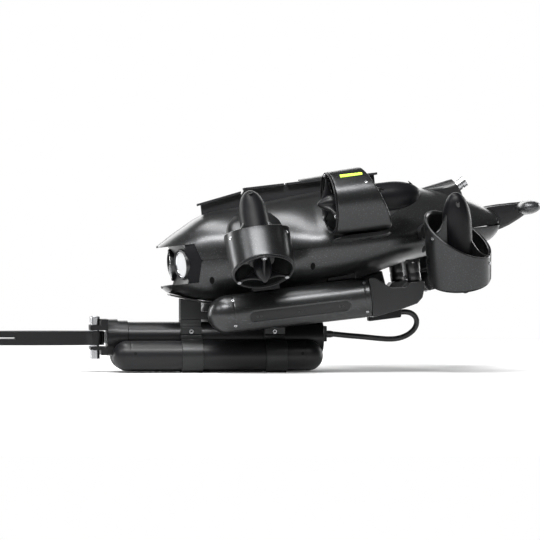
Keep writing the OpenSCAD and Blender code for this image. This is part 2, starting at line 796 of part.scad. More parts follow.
battery_cells(RIGHT);  // battery_cells_right
battery_handle(LEFT);  // battery_handle_left
battery_handle(RIGHT);  // battery_handle_right
lock_knob(LEFT);  // lock_knob_left
lock_knob(RIGHT);  // lock_knob_right
actuator_tube();
gripper_head();
jaw(LEFT);  // jaw_left
jaw(RIGHT);  // jaw_right
drive_rack();
gripper_motor();
float_tubes();
clamp_bands();
arm_bracket();
keel_adapter();
pivot_pins();
arm_plug();
cable_gland();
arm_cable();
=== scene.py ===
"""Looks of an underwater drone with six ducted thrusters, slung battery packs and a gripper arm.

Every piece is worked out in millimetres, in the hull's own frame or the arm's, and put into its
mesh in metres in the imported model's frame. The hull's frame leans nose-down over the level arm:
X = 88 + x cos a - z sin a and Z = 144.6 + x sin a + z cos a, with a = 6.8 degrees.
"""
import json
import math

import bmesh
import bpy
import numpy as np
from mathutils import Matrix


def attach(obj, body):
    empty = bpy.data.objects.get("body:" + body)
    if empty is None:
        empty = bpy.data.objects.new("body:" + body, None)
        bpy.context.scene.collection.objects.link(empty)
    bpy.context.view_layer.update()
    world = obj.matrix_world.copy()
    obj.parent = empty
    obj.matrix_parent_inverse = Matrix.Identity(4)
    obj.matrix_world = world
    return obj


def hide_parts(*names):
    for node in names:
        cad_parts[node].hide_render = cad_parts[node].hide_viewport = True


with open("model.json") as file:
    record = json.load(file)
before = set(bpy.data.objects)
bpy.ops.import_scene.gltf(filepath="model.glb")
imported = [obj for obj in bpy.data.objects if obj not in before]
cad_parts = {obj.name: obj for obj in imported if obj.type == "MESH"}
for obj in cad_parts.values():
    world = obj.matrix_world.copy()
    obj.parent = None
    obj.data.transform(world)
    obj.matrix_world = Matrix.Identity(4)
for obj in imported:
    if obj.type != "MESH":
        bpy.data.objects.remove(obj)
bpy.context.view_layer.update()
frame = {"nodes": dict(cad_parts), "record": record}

# ---- Studio: floor, backdrop, soft boxes and camera ----
# A pale floor under the drone and a white backdrop. Soft boxes above, behind and before it draw
# the broad highlights along the hull and the thin bright lines down the pods.


class Wire:
    """One socket of a material. Sums, differences and products add Math nodes, and node() any other."""

    def __init__(self, tree, socket):
        self.tree, self.socket = tree, socket

    def node(self, kind, inputs, out=0, **settings):
        made = self.tree.nodes.new(kind)
        for key, value in settings.items():
            setattr(made, key, value)
        for key, value in inputs.items():
            if isinstance(value, Wire):
                self.tree.links.new(value.socket, made.inputs[key])
            else:
                made.inputs[key].default_value = value
        return Wire(self.tree, made.outputs[out])

    def maths(self, operation, a, b=0.0):
        return self.node("ShaderNodeMath", {0: a, 1: b}, operation=operation)

    def __add__(self, other):
        return self.maths("ADD", self, other)

    def __sub__(self, other):
        return self.maths("SUBTRACT", self, other)

    def __rsub__(self, other):
        return self.maths("SUBTRACT", other, self)

    def __mul__(self, other):
        return self.maths("MULTIPLY", self, other)

    def noise(self, scale, detail=2.0):
        return self.node("ShaderNodeTexNoise", {"Vector": self, "Scale": float(scale), "Detail": detail})

    def step(self, low, high):
        return self.node("ShaderNodeMapRange", {0: self, 1: low, 2: high}, interpolation_type="SMOOTHSTEP")

    def towards(self, other, amount):
        return self.node("ShaderNodeMix", {0: amount, 6: self, 7: other}, out=2, data_type="RGBA")


def finish(name, colour, rough, metallic=0.0, coat=0.0, grain=900, depth=0.05, tone=0.2, stretch=(1, 1, 1),
           fleck=0.0, marks=None, glow=None, gloss=0.5):
    """Colour = colour x (1 + tone (slow noise - 1/2)), with bright flecks where fine noise is high;
    roughness = rough + 0.14 (slow noise - 1/2); fine noise, grain waves a metre, gives the bump.
    marks(place) may return a mask, 1 where the surface is sunk: there the colour is painted near black as the
    shade in the hollow, the bump drops, roughness rises and the coat is taken off."""
    made = bpy.data.materials.new(name)
    made.use_nodes = True
    tree = made.node_tree
    shader = tree.nodes["Principled BSDF"]
    place = Wire(tree, tree.nodes.new("ShaderNodeTexCoord").outputs["Object"])
    drawn = place.node("ShaderNodeMapping", {"Vector": place, "Scale": stretch})
    slow, fine = drawn.noise(26, 4.0), drawn.noise(grain)
    base = slow.node("ShaderNodeVectorMath", {0: colour, 3: (slow - 0.5) * tone + 1}, operation="SCALE")
    height = fine * depth
    if fleck:
        silver = (0.55, 0.57, 0.6, 1)
        base = base.towards(silver, fine.step(0.58, 0.72) * fleck)
    rougher = (slow - 0.5) * 0.14 + rough
    if marks:
        # Painted shade: sunk places go near black, standing for the shade inside a hole.
        shade_black = (0.002, 0.002, 0.002, 1)
        sunk = marks(place)
        base = base.towards(shade_black, sunk)
        height = height - sunk * 1.5
        rougher = rougher + sunk * 0.5
        tree.links.new((coat - sunk * coat).socket, shader.inputs["Coat Weight"])
    tree.links.new(base.socket, shader.inputs["Base Color"])
    tree.links.new(rougher.socket, shader.inputs["Roughness"])
    bump = fine.node("ShaderNodeBump", {"Height": height, "Strength": 0.5, "Distance": 0.0004})
    tree.links.new(bump.socket, shader.inputs["Normal"])
    shader.inputs["Metallic"].default_value = metallic
    shader.inputs["Coat Weight"].default_value = coat
    shader.inputs["Coat Roughness"].default_value = 0.25
    shader.inputs["Specular IOR Level"].default_value = gloss
    if glow:
        shader.inputs["Emission Color"].default_value = (*colour, 1)
        shader.inputs["Emission Strength"].default_value = glow
    return made


def turns(n):
    """n even angles round a circle: 2 pi j / n."""
    return np.linspace(0, 2 * np.pi, n, endpoint=False)


def floor_disc(radius, rings=24, around=96):
    """Points at radius x i / rings and angle 2 pi j / around, all at height 0."""
    r, a = np.meshgrid(np.linspace(0, 1, rings) * radius, turns(around), indexing="ij")
    return np.stack([r * np.cos(a), r * np.sin(a), 0 * r], -1)


def skin(rings, ends="fan"):
    """Quads between each ring of points and the next, closed round. Each end ring is closed by a
    fan to its middle, or as a lid where the ring runs out along a wall and back inside it."""
    rings = np.asarray(rings, float)
    m, n = rings.shape[:2]
    i, j = np.meshgrid(np.arange(m - 1), np.arange(n), indexing="ij")
    k = (j + 1) % n
    faces = np.stack([i * n + j, i * n + k, (i + 1) * n + k, (i + 1) * n + j], -1).reshape(-1, 4).tolist()
    points, a, last = rings.reshape(-1, 3), np.arange(n), (m - 1) * n
    if ends == "fan":
        points = np.vstack([points, rings[0].mean(0), rings[-1].mean(0)])
        faces += np.stack([(a + 1) % n, a, 0 * a + m * n], -1).tolist()
        faces += np.stack([last + a, last + (a + 1) % n, 0 * a + m * n + 1], -1).tolist()
    if ends == "lid":
        a = np.arange(n // 2 - 1)
        lid = np.stack([a, n - 1 - a, n - 2 - a, a + 1], -1)
        faces += lid.tolist() + (lid[:, ::-1] + last).tolist()
    return points, faces


def in_mesh(name, parts, coat, crease=38):
    """One mesh from (points in mm, faces) parts: doubles merged, faces turned outwards, and smooth up
    to crease degrees."""
    mesh, start, faces = bpy.data.meshes.new(name), 0, []
    for points, part in parts:
        faces += [[v + start for v in face] for face in part]
        start += len(points)
    mesh.from_pydata((np.vstack([p for p, _ in parts]) * 0.001).tolist(), [], faces)
    work = bmesh.new()
    work.from_mesh(mesh)
    bmesh.ops.remove_doubles(work, verts=work.verts, dist=2e-6)
    bmesh.ops.recalc_face_normals(work, faces=work.faces)
    work.to_mesh(mesh)
    work.free()
    mesh.shade_smooth()
    mesh.set_sharp_from_angle(angle=math.radians(crease))
    mesh.materials.append(coat)
    made = bpy.data.objects.new(name, mesh)
    bpy.context.scene.collection.objects.link(made)
    return made


world = bpy.data.worlds.new("backdrop")
bpy.context.scene.world = world
world.use_nodes = True
sky = world.node_tree
room = sky.nodes["Background"]
room.inputs[0].default_value, room.inputs[1].default_value = (1, 1, 1, 1), 0.07
paper = sky.nodes.new("ShaderNodeBackground")
paper.inputs[0].default_value, paper.inputs[1].default_value = (1, 1, 1, 1), 1.0
either = sky.nodes.new("ShaderNodeMixShader")
sky.links.new(sky.nodes.new("ShaderNodeLightPath").outputs["Is Camera Ray"], either.inputs[0])
sky.links.new(room.outputs[0], either.inputs[1])
sky.links.new(paper.outputs[0], either.inputs[2])
sky.links.new(either.outputs[0], sky.nodes["World Output"].inputs[0])
bpy.context.scene.view_settings.view_transform = "Standard"

floor_paper = finish("floor_paper", (0.86, 0.86, 0.86), 0.9, tone=0.01, grain=300)
floor = in_mesh("floor", [skin(floor_disc(1500), "open")], floor_paper)


def soft_box(name, at, aim, width, height, watts):
    """An area light at a point, facing another."""
    lamp = bpy.data.lights.new(name, "AREA")
    lamp.shape, lamp.size, lamp.size_y, lamp.energy = "RECTANGLE", width, height, watts
    made = bpy.data.objects.new(name, lamp)
    made.location = at
    away = np.array(at) - np.array(aim)
    flat = math.hypot(away[0], away[1])
    made.rotation_euler = (math.atan2(flat, away[2]), 0, math.atan2(away[0], -away[1]))
    bpy.context.scene.collection.objects.link(made)


soft_box("top_box", (-0.3, -0.1, 1.6), (0, 0, 0.1), 1.3, 0.45, 20)
soft_box("front_box", (-0.25, -1.15, 1.4), (0, 0, 0.12), 1.5, 0.32, 44)
soft_box("nose_box", (-1.5, -0.7, 1.2), (-0.1, 0, 0.15), 0.6, 0.6, 9)
soft_box("back_box", (-0.2, 2.0, 1.05), (0, 0, 0.15), 3.2, 0.9, 26)
soft_box("rim_left", (-1.5, 0.9, 0.5), (0, 0, 0.15), 0.3, 1.0, 12)
soft_box("rim_right", (1.5, 0.9, 0.5), (0.1, 0, 0.15), 0.3, 1.0, 12)

camera = bpy.data.objects.new("camera", bpy.data.cameras.new("camera"))
camera.data.lens, camera.data.sensor_width = 200, 36
turn, reach, aim = math.radians(-6), 3.3, (0.022, 0.0, 0.1116)
camera.location = (aim[0] + reach * math.sin(turn), aim[1] - reach * math.cos(turn), aim[2])
camera.rotation_euler = (math.pi / 2, 0, turn)
bpy.context.scene.collection.objects.link(camera)
bpy.context.scene.camera = camera

# ---- Hull shells ----
# Two moulded half-shells, painted in a satin metallic graphite coat, meet along a seam at the widest line.
# Each has a 2.4 mm wall and rounded lips. The lower shell's copy of the coat is a little darker and duller,
# painted shade for the underside. Its oval screw holes down its sides are a bump with their shade painted near
# black.

LEAN, HULL_X, HULL_Z = math.radians(6.8), 88, 144.6
# Heights of the seam, of its tail end, and of the mouth's two lips, then the wall's thickness
SEAM_Z, SEAM_END_Z, LOW_LIP_Z, TOP_LIP_Z, WALL = -5.5, -3, -28.6, 13.6, 2.4
body_of = {n: b for b, held in frame["record"]["behaviour"]["bodies"].items() for n in held}


def in_hull(points):
    """Hull frame to row frame: X = 88 + x cos - z sin, Y = y, Z = 144.6 + x sin + z cos."""
    x, y, z = np.moveaxis(np.asarray(points, float), -1, 0)
    c, s = math.cos(LEAN), math.sin(LEAN)
    return np.stack([HULL_X + c * x - s * z, y, HULL_Z + s * x + c * z], -1)


def piece(name, parts, coat, stands_for=(), body="vehicle", crease=38):
    """A finished piece on its body, standing for its CAD nodes."""
    made = in_mesh(name, parts, coat, crease)
    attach(made, body)
    if stands_for:
        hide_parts(*stands_for)
    return made


def bevel(made, width, segments=3, angle=40):
    """Rounds every edge sharper than angle by width mm."""
    cut = made.modifiers.new("eased", "BEVEL")
    cut.width, cut.segments, cut.limit_method = width * 0.001, segments, "ANGLE"
    cut.angle_limit, cut.harden_normals, cut.miter_outer = math.radians(angle), True, "MITER_ARC"
    return made


def through(keys, x):
    """Piecewise cubic through [x, value] pairs, with each slope taken from its two neighbours."""
    kx, kv = np.array(keys, float).T
    low, high = np.maximum(np.arange(len(kx)) - 1, 0), np.minimum(np.arange(len(kx)) + 1, len(kx) - 1)
    lean = (kv[high] - kv[low]) / (kx[high] - kx[low])
    i = np.clip(np.searchsorted(kx, x) - 1, 0, len(kx) - 2)
    h = kx[i + 1] - kx[i]
    t = (x - kx[i]) / h
    return (kv[i] * (2 * t**3 - 3 * t**2 + 1) + kv[i + 1] * (3 * t**2 - 2 * t**3)
            + h * lean[i] * (t**3 - 2 * t**2 + t) + h * lean[i + 1] * (t**3 - t**2))


TOP = [[-190, 16], [-168, 29], [-137, 44], [-95, 48], [-5, 55], [60, 54], [116, 43], [153, 29], [192, 5]]
BOTTOM = [[-190, -31.5], [-183, -37], [-143, -50], [-100, -52], [0, -50], [40, -42.5], [80, -33], [150, -25],
          [176, -21], [190, -9]]
HALF = [[-190, 30], [-175, 44], [-157, 55], [-120, 63], [-77, 67], [-30, 84], [30, 88], [80, 80], [140, 52],
        [192, 24]]


def shell_arc(x, up, inset):
    """Superellipse arcs over (up) or under the seam at stations x: y = w sgn(c) |c|^(2/p) and
    z = z0 + h |s|^(2/p), w and h less the inset, and both shrinking over the last 7 mm to a rounded
    end. Ahead of the cheeks each arc starts where it meets the mouth's lip, at the angle whose sine
    is ((lip - z0) / h)^(p/2)."""
    lip = np.interp(x, [-153, -147.5], [TOP_LIP_Z if up else LOW_LIP_Z, SEAM_Z])
    z0 = np.interp(x, [-150, 90, 190], [SEAM_Z, SEAM_Z, SEAM_END_Z]) + (0.6 if up else -0.6)
    h = through(TOP if up else BOTTOM, x) - z0
    if up:
        p = np.interp(x, [-150, -90, -20, 90, 190], [2.4, 2, 1.6, 1.6, 2])
    else:
        p = np.interp(x, [-150, 0, 190], [2.6, 2.2, 2])
    end = np.sqrt(1 - np.clip((x - 182.5) / 7.51, 0, 1) ** 2)
    w, h = (through(HALF, x) - inset) * end, np.sign(h) * np.maximum(np.abs(h) - inset, 0.4) * end
    first = np.arcsin(np.clip((lip - z0) / h, 0, 1) ** (p / 2))
    t = first[:, None] + (np.pi - 2 * first)[:, None] * np.linspace(0, 1, 121)
    c, s, p = np.cos(t), np.sin(t), p[:, None]
    y = w[:, None] * np.sign(c) * np.abs(c) ** (2 / p)
    z = z0[:, None] + h[:, None] * np.abs(s) ** (2 / p)
    return np.stack([x[:, None] + 0 * y, y, z], -1)


def ovals(u, v, centres, scale, edge):
    """Greatest over the centres of 1 - smoothstep(edge) of q, with q = (ku (u - cu))^2 + (kv (v - cv))^2."""
    mask = None
    for cu, cv in centres:
        du, dv = (u - cu) * scale[0], (v - cv) * scale[1]
        spot = 1 - (du * du + dv * dv).step(*edge)
        mask = spot if mask is None else mask.maths("MAXIMUM", mask, spot)
    return mask


def screw_holes_shaded(place):
    """Mask of the three screw holes down each side, where the colour is painted near black as the shade inside
    them: 1 inside ovals 5.3 mm long and 7.7 mm tall.
    """
    x, z = (place.node("ShaderNodeSeparateXYZ", {0: place}, out=k) for k in (0, 2))
    dx, dz = x - HULL_X / 1000, z - HULL_Z / 1000
    c, s = math.cos(LEAN), math.sin(LEAN)
    centres = ((-0.139, -0.028), (-0.031, -0.0255), (0.094, -0.0215))
    return ovals(dx * c + dz * s, dz * c - dx * s, centres, (380, 260), (0.8, 1.15))


graphite = finish("hull_graphite", (0.036, 0.0365, 0.0375), 0.31, 0.75, 0.25, fleck=0.1)
# Painted shade: the lower shell's coat is darker and duller than the upper's, for the shade under the hull.
underside_shaded_graphite = finish("hull_graphite_shaded", (0.03, 0.0305, 0.0315), 0.32, 0.75, 0.22, fleck=0.08,
                      marks=screw_holes_shaded)
cuts = np.concatenate([np.linspace(-190, -151, 40), np.linspace(-150, -148, 9), np.linspace(-147, 180, 150),
                       np.linspace(182, 190, 14)])
for node, up, coat in (("upper_shell", True, graphite), ("lower_shell", False, underside_shaded_graphite)):
    wall = np.concatenate([shell_arc(cuts, up, 0), shell_arc(cuts, up, WALL)[:, ::-1]], 1)
    points, faces = skin(wall, "lid")
    bevel(piece(node + "_skin", [(in_hull(points), faces)], coat, [node]), 0.7, 3, 50)

x = np.linspace(-147, 181, 160)
level = np.interp(x, [-147, 90, 190], [SEAM_Z, SEAM_Z, SEAM_END_Z])
side = through(HALF, x) - 1.5


def seal_ring(x, half, z):
    """A thin gasket wall along both sides: four corners a station, at y = +-half and +-(half - 1), z +-1."""
    corners = [(half, z - 1), (half, z + 1), (half - 1, z + 1), (half - 1, z - 1)]
    return np.stack([np.stack([x, y, h], -1) for y, h in corners], 1)


seal = [skin(seal_ring(x, side, level)), skin(seal_ring(x, side, level) * (1, -1, 1))]
rubber = finish("lead_rubber", (0.012, 0.012, 0.013), 0.42, coat=0.1, grain=700, depth=0.08)
piece("hull_gasket", [(in_hull(q), f) for q, f in seal], rubber)

# ---- Nose: mouth, camera and lamps ----
# Between the two lips a hollow painted face carries the camera behind a clear dome, and a lamp
# on each side, canted outwards. A matt black band closes the cheeks behind it.


def turned(profile, around=64):
    """A profile of (r, z) points turned about z: (r cos a, r sin a, z)."""
    profile, a = np.asarray(profile, float), turns(around)
    r, z = profile[:, :1], profile[:, 1:]
    return np.stack([r * np.cos(a), r * np.sin(a), z + 0 * a], -1)


matt_black = finish("matt_black", (0.008, 0.008, 0.009), 0.5, grain=1500, depth=0.35, tone=0.3, gloss=0.25)
satin_black = finish("satin_black", (0.007, 0.007, 0.008), 0.34, coat=0.15, grain=1100, depth=0.15)
mouth_grey = finish("mouth_grey", (0.022, 0.0225, 0.023), 0.36, 0.5, 0.1, fleck=0.04)


def half_width(x, z):
    """Half-width of the hull at station x and height z: w (1 - |(z - z0) / h|^p)^(1/p)."""
    up = z > SEAM_Z
    h = np.where(up, through(TOP, x) - SEAM_Z, SEAM_Z - through(BOTTOM, x))
    p = np.where(up, 2.4, 2.6)
    return through(HALF, x) * np.maximum(1 - np.abs((z - SEAM_Z) / h) ** p, 0) ** (1 / p)


mid, tall = (TOP_LIP_Z + LOW_LIP_Z) / 2, (TOP_LIP_Z - LOW_LIP_Z) / 2
z = np.linspace(LOW_LIP_Z, TOP_LIP_Z, 25)[:, None]
u, v = (z - mid) / tall, np.linspace(-1, 1, 90)[None]
wide = half_width(np.full_like(z, -163.0), z) - 1
front = np.stack([-178 + 13 * np.abs(v) ** 1.8 + 5 * (1 - u**2), wide * v, z + 0 * v], -1)
back = np.stack([np.stack([0 * z[:, 0] - 160, k * wide[:, 0], z[:, 0]], -1) for k in (1, -1)], 1)
points, faces = skin(np.concatenate([front, back], 1))
piece("mouth_face", [(in_hull(points), faces)], mouth_grey)
x = np.linspace(-164, -146.5, 24)[None]
z = np.linspace(LOW_LIP_Z + 0.2, TOP_LIP_Z - 0.2, 17)[:, None]
rim = half_width(x + 0 * z, z + 0 * x) - 0.7
band = np.stack([x + 0 * rim, rim, z + 0 * rim], -1)
band = np.concatenate([band, band[:, ::-1] * (1, -1, 1)], 1)
cheek_black = finish("cheek_black", (0.006, 0.006, 0.007), 0.55, grain=1500, depth=0.3, tone=0.3, gloss=0.08)
points, faces = skin(band)
bevel(piece("cheek_band", [(in_hull(points), faces)], cheek_black, ["nose_bezel"]), 0.8, 3, 50)


def facing(points, at, cant, side):
    """Turns an upright piece to face along -x, cants it outwards by cant degrees and sets it at a point."""
    p, a = np.asarray(points, float), math.radians(cant)
    x, y, z = -p[..., 2], p[..., 1], p[..., 0]
    across = side * (x * math.sin(a) + y * math.cos(a) + at[1])
    return np.stack([x * math.cos(a) - y * math.sin(a) + at[0], across, z + at[2]], -1)


def set_in(profile, at, cant=0, side=1):
    """A turned profile set in the face at a point."""
    points, faces = skin(turned(profile, 96))
    return in_hull(facing(points, at, cant, side)), faces


lamp_white = finish("lamp_white", (0.5, 0.505, 0.51), 0.55, tone=0.5, depth=0.05, glow=0.22, gloss=0.1)
ring_steel = finish("ring_steel", (0.62, 0.63, 0.65), 0.22, 1.0, stretch=(1, 1, 8))
glass_black = finish("glass_black", (0.006, 0.007, 0.01), 0.08, coat=1.0, depth=0.0)
LAMP_AT, LAMP_CANT, CAMERA_AT = (-168.6, -38.2, -7.2), 20, (-176, 0, -6.6)
for side_name, s in (("left", 1), ("right", -1)):
    ring = [(0.5, -9), (16.2, -9), (16.6, 0.2), (16.3, 1.2), (15.6, 1.6), (15.0, 1.0), (14.7, -2.6),
            (0.5, -2.8)]
    piece(f"lamp_ring_{side_name}", [set_in(ring, LAMP_AT, LAMP_CANT, s)], satin_black)
    trim = [(13.1, -3.2), (14.2, -3.2), (14.3, -0.4), (14.0, 0.1), (13.6, -0.1), (13.1, -0.8)]
    piece(f"lamp_trim_{side_name}", [set_in(trim, LAMP_AT, LAMP_CANT, s)], ring_steel)
    dome = [(13.0 * math.cos(t), -0.6 + 1.3 * math.sin(t)) for t in np.linspace(0, 1.53, 12)]
    lens = set_in([(0.5, -3.4), (13.0, -3.4)] + dome, LAMP_AT, LAMP_CANT, s)
    piece(f"lamp_lens_{side_name}", [lens], lamp_white, ["lamp_lenses"] if s == 1 else ())
ring = [(0.5, -8), (17.6, -8), (17.8, 1.2), (17, 2.4), (15.8, 2.2), (15.2, 0.5), (14.6, -1), (0.5, -1.2)]
piece("camera_ring", [set_in(ring, CAMERA_AT)], satin_black)
stepped = [(0.5, -3), (10.5, -3), (10.5, -0.4), (9.9, 0.2), (9, 0), (8.4, -0.8), (7.8, -0.8)]
bulge = [(7.6 * math.cos(t), -0.8 + 2 * math.sin(t)) for t in np.linspace(0, 1.5, 12)]
piece("camera_lens", [set_in(stepped + bulge, CAMERA_AT)],
      glass_black)
clear = bpy.data.materials.new("clear_dome")
clear.use_nodes = True
shader = clear.node_tree.nodes["Principled BSDF"]
place = Wire(clear.node_tree, clear.node_tree.nodes.new("ShaderNodeTexCoord").outputs["Object"])
clear.node_tree.links.new((place.noise(60) * 0.03).socket, shader.inputs["Roughness"])
shader.inputs["Base Color"].default_value = (0.3, 0.31, 0.33, 1)
shader.inputs["Transmission Weight"].default_value, shader.inputs["IOR"].default_value = 1.0, 1.45
dome = [(15.6 * math.cos(t), 0.6 + 4.6 * math.sin(t)) for t in np.linspace(0, 1.54, 24)]
inside = [(14.8 * math.cos(t), 0.6 + 4.0 * math.sin(t)) for t in np.linspace(1.54, 0, 24)]
piece("dome_glass", [set_in(dome + inside, CAMERA_AT)], clear, ["camera_dome"])

# ---- Thrusters: ducts, arms, pods, propellers and guards ----
# Six ducts on blended arms. Each is a round tube cut off aslant at its pod end with a rounded
# lip; three struts hold the motor pod, whose propeller runs behind a guard with a pointed hub.

# Middle of the guard rim, cant in degrees, and the slanted rim's height, slope and direction in degrees
PLACES = {
    "front": ((-91, -139, -23.5), 31, (49, 0.4, 0)),
    "middle": ((-10, -120, 39.4), 7, (49, 0.4, 0)),
    "rear": ((121, -108, -58), 22, (53, 0.65, 65)),
}


def axes(pair):
    """The thruster's own x, y and z axes in the hull frame, for the left side."""
    a = math.radians(PLACES[pair][1])
    c, s = math.cos(a), math.sin(a)
    return np.array({
        "front": ((0, c, -s), (-1, 0, 0), (0, s, c)),
        "middle": ((0, 0, -1), (-s, c, 0), (c, s, 0)),
        "rear": ((0, c, s), (-1, 0, 0), (0, -s, c)),
    }[pair])


def on_thruster(pair, side, points):
    """Thruster frame to row frame, mirrored in y for the right side."""
    p = np.asarray(points, float) @ axes(pair) + np.array(PLACES[pair][0])
    return in_hull(p * (1, side, 1))


def rim_height(r, a, slant):
    """Height of the slanted rim: mid + slope r cos(a - direction)."""
    mid, slope, towards = slant
    return mid + slope * r * np.cos(a - math.radians(towards))


def duct_tube(slant, around=144):
    """Wall profile turned about z, its part above z = 22 stretched so that its lip lies on the slanted rim."""
    straight, lip_z, bore = 22, 49, 31.4
    bend = np.linspace(0, np.pi, 13)
    foot = np.stack([32.5 + 1.1 * np.cos(bend + np.pi), 1.1 + 1.1 * np.sin(bend + np.pi)], 1)
    lip = np.stack([33.2 + 1.8 * np.cos(bend), 47.2 + 1.8 * np.sin(bend)], 1)
    rise = np.linspace(2, 46, 16)
    outer = np.stack([np.interp(rise, [2, straight, 40, 46], [33.7, 34.6, 35, 35]), rise], 1)
    inner = np.stack([np.full(16, bore), np.linspace(46, 2, 16)], 1)
    rings = turned(np.vstack([foot, outer, lip, inner]), around)
    z = rings[..., 2]
    stretch = (rim_height(33.2, turns(around), slant) - straight) / (lip_z - straight)
    rings[..., 2] = np.where(z > straight, straight + (z - straight) * stretch, z)
    return np.concatenate([rings, rings[:1]])


def strut_fin(turn, slant):
    """A thin fin from pod to wall: its outline in (r, z), drawn in by 0.06 (h / 1.5)^4 of its size at
    height h of its 3 mm thickness."""
    reach = rim_height(31.4, math.radians(turn), slant)
    t = np.linspace(0, 1, 20)[:, None]
    top = np.hstack([15 + 17.2 * t, reach - 1.5 + 17 * (1 - t) ** 2.2])
    low = np.hstack([32.2 - 17.2 * t, 27 + 0 * t])
    ring = np.vstack([top, low])
    mid = np.array([23, (27 + reach) / 2])
    h = np.array([-1.5, -1.45, -1.2, -0.8, 0, 0.8, 1.2, 1.45, 1.5])
    draw = 1 - 0.06 * (np.abs(h) / 1.5) ** 4
    flat = mid + (ring - mid)[None] * np.stack([1 + 0 * draw, draw], 1)[:, None]
    a = math.radians(turn)
    r, z, across = flat[..., 0], flat[..., 1], h[:, None]
    return np.stack([r * math.cos(a) - across * math.sin(a), r * math.sin(a) + across * math.cos(a), z], -1)


def arm(path, wide, thick, power=2.6):
    """Superellipse sections along a path in (x, y, z), with half-widths along x and half-thicknesses
    across the path."""
    path = np.asarray(path, float)
    s = np.linspace(0, 1, len(path))
    t = np.linspace(0, 1, 40)
    mid = np.stack([through(np.stack([s, path[:, k]], 1), t) for k in range(3)], 1)
    w, h = through(np.stack([s, wide], 1), t), through(np.stack([s, thick], 1), t)
    run = np.gradient(mid, axis=0)
    run /= np.linalg.norm(run, axis=1, keepdims=True)
    ahead = np.array([1.0, 0, 0]) - run * run[:, :1]
    ahead /= np.linalg.norm(ahead, axis=1, keepdims=True)
    across = np.cross(run, ahead)
    a = turns(56)
    u, v = (np.sign(f) * np.abs(f) ** (2 / power) for f in (np.cos(a), np.sin(a)))
    aside = (w[:, None] * u)[..., None] * ahead[:, None]
    return mid[:, None] + aside + (h[:, None] * v)[..., None] * across[:, None]


def clear_of_bore(pair, rings, keep=33.0):
    """Pushes points that lie inside the duct's wall out to its middle, round the thruster's axis, and
    keeps those over the wall 1 mm under its rim."""
    middle, slant = np.array(PLACES[pair][0]), PLACES[pair][2]
    p = (rings - middle) @ axes(pair).T
    r = np.hypot(p[..., 0], p[..., 1])
    p[..., :2] *= np.maximum(1, keep / np.maximum(r, 1e-6))[..., None]
    rim, no_limit = rim_height(33, np.arctan2(p[..., 1], p[..., 0]), slant), 200
    p[..., 2] = np.minimum(p[..., 2], rim + no_limit * (r > keep) - 1)
    return p @ axes(pair) + middle


# Each arm's path, then its half-widths and half-thicknesses along it
ARMS = {
    "front": [
        ([(-90, -100, -12), (-89, -86, -2), (-88, -70, 12), (-87, -56, 26), (-86, -43, 36)],
         [26, 29, 31, 29, 21], [13, 13, 11, 8, 4]),
    ],
    "middle": [
        ([(19, -122, 10), (20, -108, 6), (21, -94, 5), (21, -84, 5), (20, -72, 6)],
         [18, 20, 24, 27, 28], [5, 5.5, 7, 8, 9]),
        ([(22, -128, 1.5), (22, -118, 0.5), (22, -104, -0.5), (22, -90, -1.5), (22, -78, -2)],
         [26, 30, 31, 31, 31], [2, 2.2, 2.2, 2.4, 3]),
    ],
    "rear": [
        ([(109, -96, -3), (109, -84, -3), (109, -70, -4), (109, -58, -4), (109, -48, -3)],
         [22, 23, 23, 22, 20], [11, 11.5, 10.5, 9, 7]),
    ],
}


def blade(turn):
    """A twisted blade: r from 12 to 30.2, chord 15 to 12, twist 52 to 26 degrees, thickness 2.2 to 1 mm."""
    k = np.linspace(0, 1, 18)[:, None]
    a = turns(28)
    r = 12 + 18.2 * k + 0 * a
    round_tip = np.sqrt(np.clip(1 - ((k - 0.8) / 0.215).clip(0, 1) ** 2, 0.01, 1))
    u = 0.5 * np.cos(a) * (15 - 3 * k) * round_tip
    v = 0.5 * np.sin(a) * (2.2 - 1.2 * k) * (1 + 0.5 * np.cos(a)) * round_tip
    b = np.radians(52 - 26 * k)
    across, z = u * np.cos(b) - v * np.sin(b), u * np.sin(b) * 0.9 + v * np.cos(b) + 18.25
    w = math.radians(turn)
    return np.stack([r * math.cos(w) - across * math.sin(w), r * math.sin(w) + across * math.cos(w), z], -1)


def screw_head(radius, height):
    """A domed head with a six-sided socket: rings (r, z), the socket's r varying as 1 + 0.07 cos 6a."""
    profile = np.array([(1, 0), (1, 0.55), (0.86, 0.95), (0.55, 1), (0.5, 0.9), (0.44, 0.2)])
    rings, a = turned(profile * (radius, height), 30), turns(30)
    rings[-2:, :, :2] *= (1 + 0.07 * np.cos(6 * a))[:, None]
    return rings


def spun(points, turn):
    """Turns points about z by turn degrees."""
    a = math.radians(turn)
    x, y, z = np.moveaxis(np.asarray(points, float), -1, 0)
    return np.stack([x * math.cos(a) - y * math.sin(a), x * math.sin(a) + y * math.cos(a), z], -1)


def spoke(turn):
    """A guard fin from hub to ring: front edge at -1.9 - 9.5 (1 - k)^2.2, rear edge at 1 + 5 (1 - k)^2,
    k = 0 to 1 outwards."""
    k, a = np.linspace(0, 1, 22)[:, None], turns(24)
    front, rear = -1.9 - 9.5 * (1 - k) ** 2.2, 1 + 5 * (1 - k) ** 2
    mid, half = (front + rear) / 2, (rear - front) / 2
    fin = np.stack([2.5 + 28.4 * k + 0 * a, 1.5 * np.cos(a) + 0 * k, mid + half * np.sin(a)], -1)
    return spun(fin, turn)


